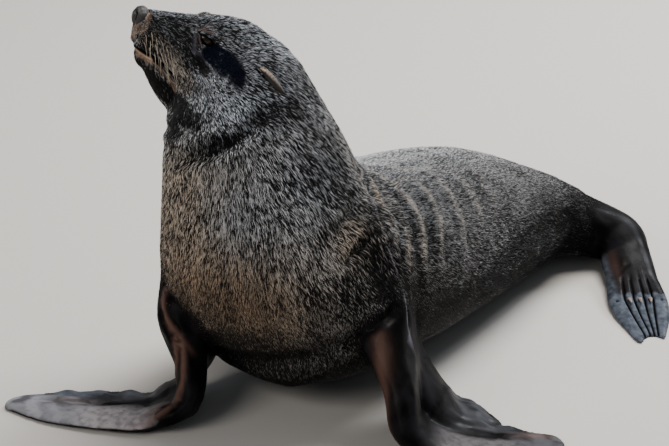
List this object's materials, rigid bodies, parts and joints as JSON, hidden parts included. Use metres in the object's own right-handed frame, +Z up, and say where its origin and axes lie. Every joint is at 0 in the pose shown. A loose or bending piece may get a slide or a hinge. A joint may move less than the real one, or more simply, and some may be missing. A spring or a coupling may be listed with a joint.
{
  "type": "fur seal",
  "caption": "Young fur seal sitting up on its foreflippers, head turned to its right and nose raised, hind flippers turned forward.",
  "frame": {"origin": "on the floor, under the middle of the whole animal's box", "axes": "+Z up; the trunk lies along Y with the chest towards -Y and the tail towards +Y; +X is the animal's own left"},
  "size_m": [0.8182, 1.1294, 0.6054],
  "materials": {
    "coat": "short dense fur, grizzled grey-brown",
    "flipper": "bare black-brown skin, semi-gloss",
    "nose": "moist black skin",
    "eye": "wet and glossy, very dark brown",
    "ear": "thinly haired skin, matt",
    "claw": "dark horn, satin"
  },
  "bodies": {
    "root": {"chest": "coat", "claw_fourth_left": "claw", "claw_fourth_right": "claw", "claw_second_left": "claw", "claw_second_right": "claw", "claw_third_left": "claw", "claw_third_right": "claw", "ear_left": "ear", "ear_right": "ear", "eye_left": "eye", "eye_right": "eye", "forearm_left": "coat", "forearm_right": "coat", "foreflipper_left": "flipper", "foreflipper_right": "flipper", "head": "coat", "hind_flipper_left": "flipper", "hind_flipper_right": "flipper", "hips": "coat", "lower_jaw": "coat", "neck": "coat", "nose": "nose", "shank_left": "coat", "shank_right": "coat", "tail": "coat", "trunk": "coat"}
  },
  "joints": []
}
